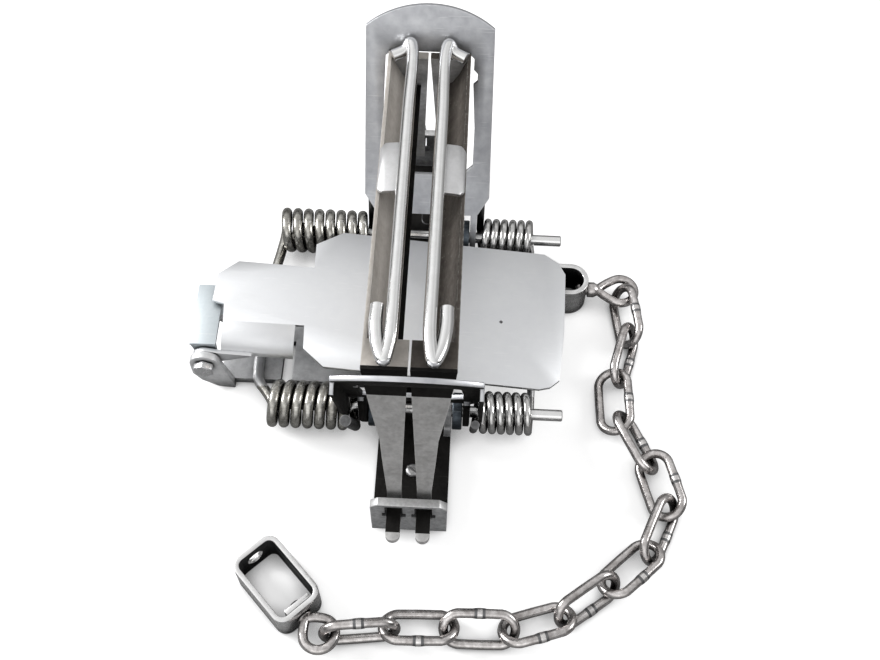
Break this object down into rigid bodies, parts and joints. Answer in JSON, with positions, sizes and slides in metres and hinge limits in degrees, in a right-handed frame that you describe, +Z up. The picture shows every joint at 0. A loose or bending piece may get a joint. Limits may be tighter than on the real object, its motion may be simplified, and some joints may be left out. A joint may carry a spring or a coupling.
{
  "type": "coil spring trap",
  "caption": "Coil spring foot trap shown shut: raised jaws held by two sprung levers over a flat pan, on a channel base with a swivel chain and end box.",
  "frame": {"origin": "on the floor under the middle of the base, at the underside of the cross arm", "axes": "+X from the latch side to the chain side, +Y from the near jaw end to the far jaw end, +Z up"},
  "size_m": [0.2144, 0.2582, 0.124],
  "materials": {
    "base_steel": "satin",
    "arm_steel": "satin",
    "pan_steel": "satin",
    "lever_steel": "satin",
    "jaw_steel": "matte",
    "polished_steel": "polished",
    "main_spring_steel": "satin",
    "side_spring_steel": "polished",
    "bush_steel": "satin",
    "bolt_steel": "satin",
    "dog_steel": "satin",
    "chain_steel": "polished",
    "box_steel": "polished",
    "rivet_steel": "satin"
  },
  "bodies": {
    "base": {"base_frame": "base_steel", "cross_arm": "arm_steel", "arm_rivet_near": "rivet_steel", "arm_rivet_far": "rivet_steel", "base_screw": "rivet_steel", "spring_rod_near": "polished_steel", "spring_rod_far": "polished_steel", "bush_near_left": "bush_steel", "bush_near_right": "bush_steel", "bush_far_left": "bush_steel", "bush_far_right": "bush_steel", "main_spring": "main_spring_steel", "side_spring": "side_spring_steel", "trigger_bolt": "bolt_steel", "strap_pin": "rivet_steel"},
    "near_lever": {"lever_near": "lever_steel"},
    "far_lever": {"lever_far": "lever_steel"},
    "left_jaw": {"jaw_left": "jaw_steel", "jaw_rod_left": "polished_steel", "jaw_clip_left": "polished_steel"},
    "right_jaw": {"jaw_right": "jaw_steel", "jaw_rod_right": "polished_steel", "jaw_clip_right": "polished_steel"},
    "trigger_pan": {"pan": "pan_steel"},
    "latch_dog": {"dog": "dog_steel"},
    "strap": {"swivel_strap": "box_steel"},
    "trap_eye": {"swivel_eye_trap": "chain_steel"},
    "link_01": {"chain_link_01": "chain_steel"},
    "link_02": {"chain_link_02": "chain_steel"},
    "link_03": {"chain_link_03": "chain_steel"},
    "link_04": {"chain_link_04": "chain_steel"},
    "link_05": {"chain_link_05": "chain_steel"},
    "link_06": {"chain_link_06": "chain_steel"},
    "link_07": {"chain_link_07": "chain_steel"},
    "link_08": {"chain_link_08": "chain_steel"},
    "link_09": {"chain_link_09": "chain_steel"},
    "link_10": {"chain_link_10": "chain_steel"},
    "link_11": {"chain_link_11": "chain_steel"},
    "link_12": {"chain_link_12": "chain_steel"},
    "end_eye": {"swivel_eye_end": "chain_steel"},
    "anchor_box": {"end_box": "box_steel"}
  },
  "joints": [
    {"name": "near_lever_swing", "type": "hinge", "parent": "base", "child": "near_lever", "pos_m": [0, -0.0454, 0.0148], "axis": [1, 0, 0], "range_deg": [0, 60], "stiffness_Nm_per_rad": 4, "springref_deg": -45.84, "deforming": ["main_spring", "side_spring"]},
    {"name": "far_lever_swing", "type": "hinge", "parent": "base", "child": "far_lever", "pos_m": [0, 0.0454, 0.0148], "axis": [-1, 0, 0], "range_deg": [0, 61.7]},
    {"name": "left_jaw_swing", "type": "hinge", "parent": "base", "child": "left_jaw", "pos_m": [-0.006, 0, 0.0205], "axis": [0, -1, 0], "range_deg": [0, 27.2]},
    {"name": "right_jaw_swing", "type": "hinge", "parent": "base", "child": "right_jaw", "pos_m": [0.006, 0, 0.0205], "axis": [0, 1, 0], "range_deg": [0, 27.2]},
    {"name": "pan_tilt", "type": "hinge", "parent": "base", "child": "trigger_pan", "pos_m": [-0.0925, 0, 0.0205], "axis": [0, -1, 0], "range_deg": [0, 6]},
    {"name": "dog_swing", "type": "hinge", "parent": "base", "child": "latch_dog", "pos_m": [-0.0925, 0, 0.0205], "axis": [0, -1, 0], "range_deg": [0, 55]},
    {"name": "strap_tilt", "type": "hinge", "parent": "base", "child": "strap", "pos_m": [0.06, 0.023, 0.0075], "axis": [0, -1, 0], "range_deg": [-2, 8]},
    {"name": "trap_eye_spin", "type": "hinge", "parent": "strap", "child": "trap_eye", "pos_m": [0.0754, 0.023, 0.009], "axis": [1, 0, 0], "continuous": true},
    {"name": "link_01_bend", "type": "hinge", "parent": "trap_eye", "child": "link_01", "pos_m": [0.09065, 0.02428, 0.008], "axis": [0, 0, 1], "range_deg": [-16, 26]},
    {"name": "link_02_bend", "type": "hinge", "parent": "link_01", "child": "link_02", "pos_m": [0.0926, -0.00025, 0.008], "axis": [0, 0, -1], "range_deg": [-30, 12]},
    {"name": "link_03_bend", "type": "hinge", "parent": "link_02", "child": "link_03", "pos_m": [0.0893, -0.02195, 0.008], "axis": [0, 0, 1], "range_deg": [-6, 30]},
    {"name": "link_04_bend", "type": "hinge", "parent": "link_03", "child": "link_04", "pos_m": [0.09105, -0.0431, 0.008], "axis": [0, 0, -1], "range_deg": [-30, 12]},
    {"name": "link_05_bend", "type": "hinge", "parent": "link_04", "child": "link_05", "pos_m": [0.1003, -0.06245, 0.008], "axis": [0, 0, 1], "range_deg": [-14, 30]},
    {"name": "link_06_bend", "type": "hinge", "parent": "link_05", "child": "link_06", "pos_m": [0.1045, -0.0821, 0.008], "axis": [0, 0, -1], "range_deg": [-30, 4]},
    {"name": "link_07_bend", "type": "hinge", "parent": "link_06", "child": "link_07", "pos_m": [0.09755, -0.1008, 0.008], "axis": [0, 0, 1], "range_deg": [-10, 30]},
    {"name": "link_08_bend", "type": "hinge", "parent": "link_07", "child": "link_08", "pos_m": [0.0823, -0.11645, 0.008], "axis": [0, 0, -1], "range_deg": [-30, 12]},
    {"name": "link_09_bend", "type": "hinge", "parent": "link_08", "child": "link_09", "pos_m": [0.06325, -0.1289, 0.008], "axis": [0, 0, 1], "range_deg": [-6, 30]},
    {"name": "link_10_bend", "type": "hinge", "parent": "link_09", "child": "link_10", "pos_m": [0.0418, -0.13565, 0.008], "axis": [0, 0, -1], "range_deg": [-30, 6]},
    {"name": "link_11_bend", "type": "hinge", "parent": "link_10", "child": "link_11", "pos_m": [0.0183, -0.1373, 0.008], "axis": [0, 0, 1], "range_deg": [-14, 26]},
    {"name": "link_12_bend", "type": "hinge", "parent": "link_11", "child": "link_12", "pos_m": [-0.0053, -0.1391, 0.008], "axis": [0, 0, -1], "range_deg": [-30, 12]},
    {"name": "end_eye_bend", "type": "hinge", "parent": "link_12", "child": "end_eye", "pos_m": [-0.03119, -0.14203, 0.008], "axis": [0, 0, 1], "range_deg": [-30, 30]},
    {"name": "anchor_box_spin", "type": "hinge", "parent": "end_eye", "child": "anchor_box", "pos_m": [-0.03939, -0.13558, 0.00855], "axis": [-0.6947, 0.7193, 0], "continuous": true}
  ],
  "couplings": [
    {"joint": "far_lever_swing", "follows": "near_lever_swing", "ratio": 1.0268},
    {"joint": "left_jaw_swing", "follows": "near_lever_swing", "ratio": 0.45},
    {"joint": "right_jaw_swing", "follows": "near_lever_swing", "ratio": 0.45}
  ]
}
